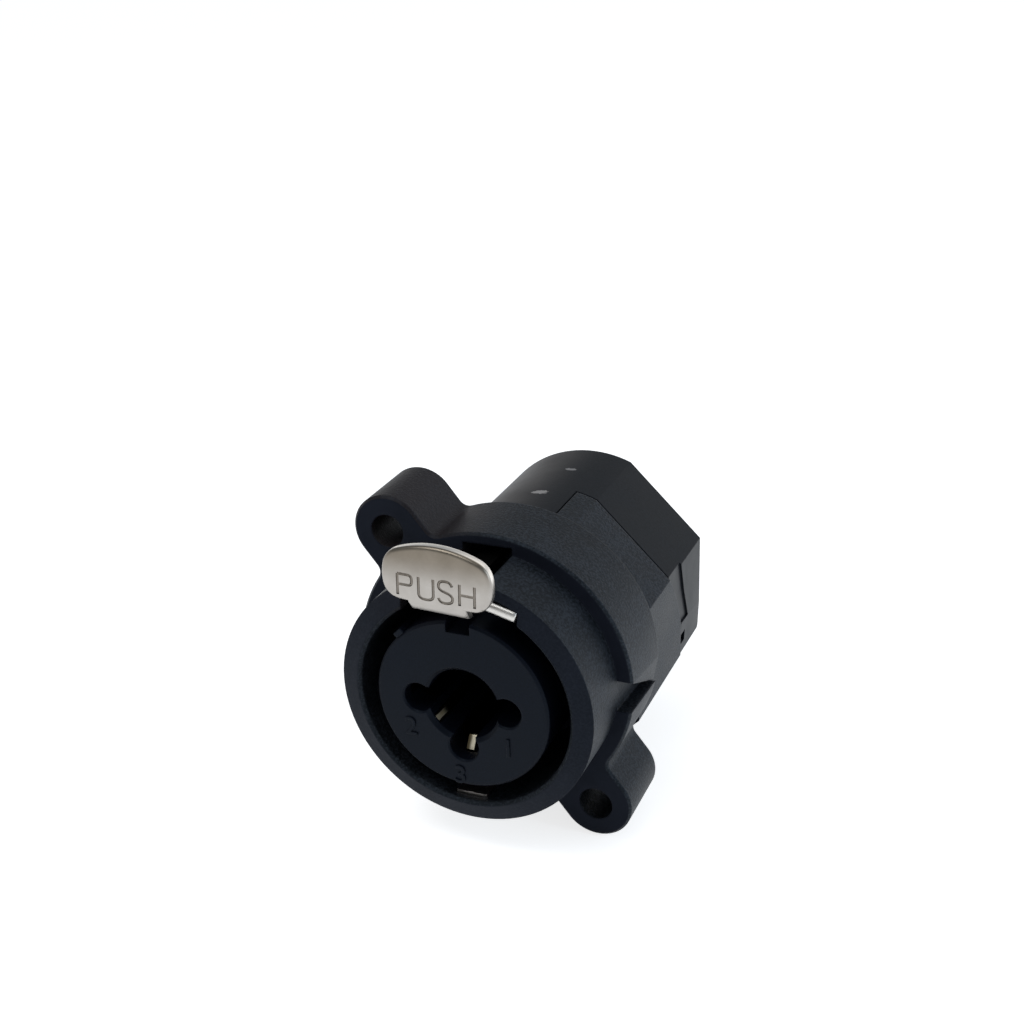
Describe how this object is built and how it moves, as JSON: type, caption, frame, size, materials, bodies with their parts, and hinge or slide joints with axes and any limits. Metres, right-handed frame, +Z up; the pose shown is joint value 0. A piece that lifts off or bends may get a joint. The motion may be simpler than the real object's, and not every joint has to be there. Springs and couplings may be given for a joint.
{
  "type": "audio panel socket",
  "caption": "Round panel-mounted audio socket with two screw ears, a pinned insert around a central jack bore and a spring-loaded metal latch tab",
  "frame": {"origin": "on the barrel's axis, in the plane where the front of the flange meets the back of the panel", "axes": "-Y out of the mating face towards the plug, +X to the right seen from the front, +Z up with the latch tab at the top"},
  "size_m": [0.026, 0.0411, 0.0314],
  "materials": {
    "housing_plastic": "fine grained moulding",
    "cover_plastic": "smoother moulding",
    "insert_plastic": "smooth moulding",
    "satin_nickel": "satin",
    "spring_steel": "drawn wire",
    "gold_contact": "thin plating",
    "silver_contact": "thin plating"
  },
  "bodies": {
    "socket": {"front_housing": "housing_plastic", "rear_cover": "cover_plastic", "contact_insert": "insert_plastic", "contact_retainer": "insert_plastic", "latch_pivot_pin": "spring_steel", "latch_spring": "spring_steel", "xlr_contact_1": "gold_contact", "xlr_contact_2": "gold_contact", "xlr_contact_3": "gold_contact", "jack_tip_spring": "gold_contact", "jack_ring_spring": "gold_contact", "jack_sleeve_spring": "gold_contact", "ground_contact": "silver_contact"},
    "latch": {"latch_lever": "satin_nickel"}
  },
  "joints": [
    {"name": "latch_hinge", "type": "hinge", "parent": "socket", "child": "latch", "pos_m": [0, 0.0052, 0.0107], "axis": [-1, 0, 0], "range_deg": [0, 8], "stiffness_Nm_per_rad": 0.04, "springref_deg": -5.73, "deforming": ["latch_spring"]}
  ]
}
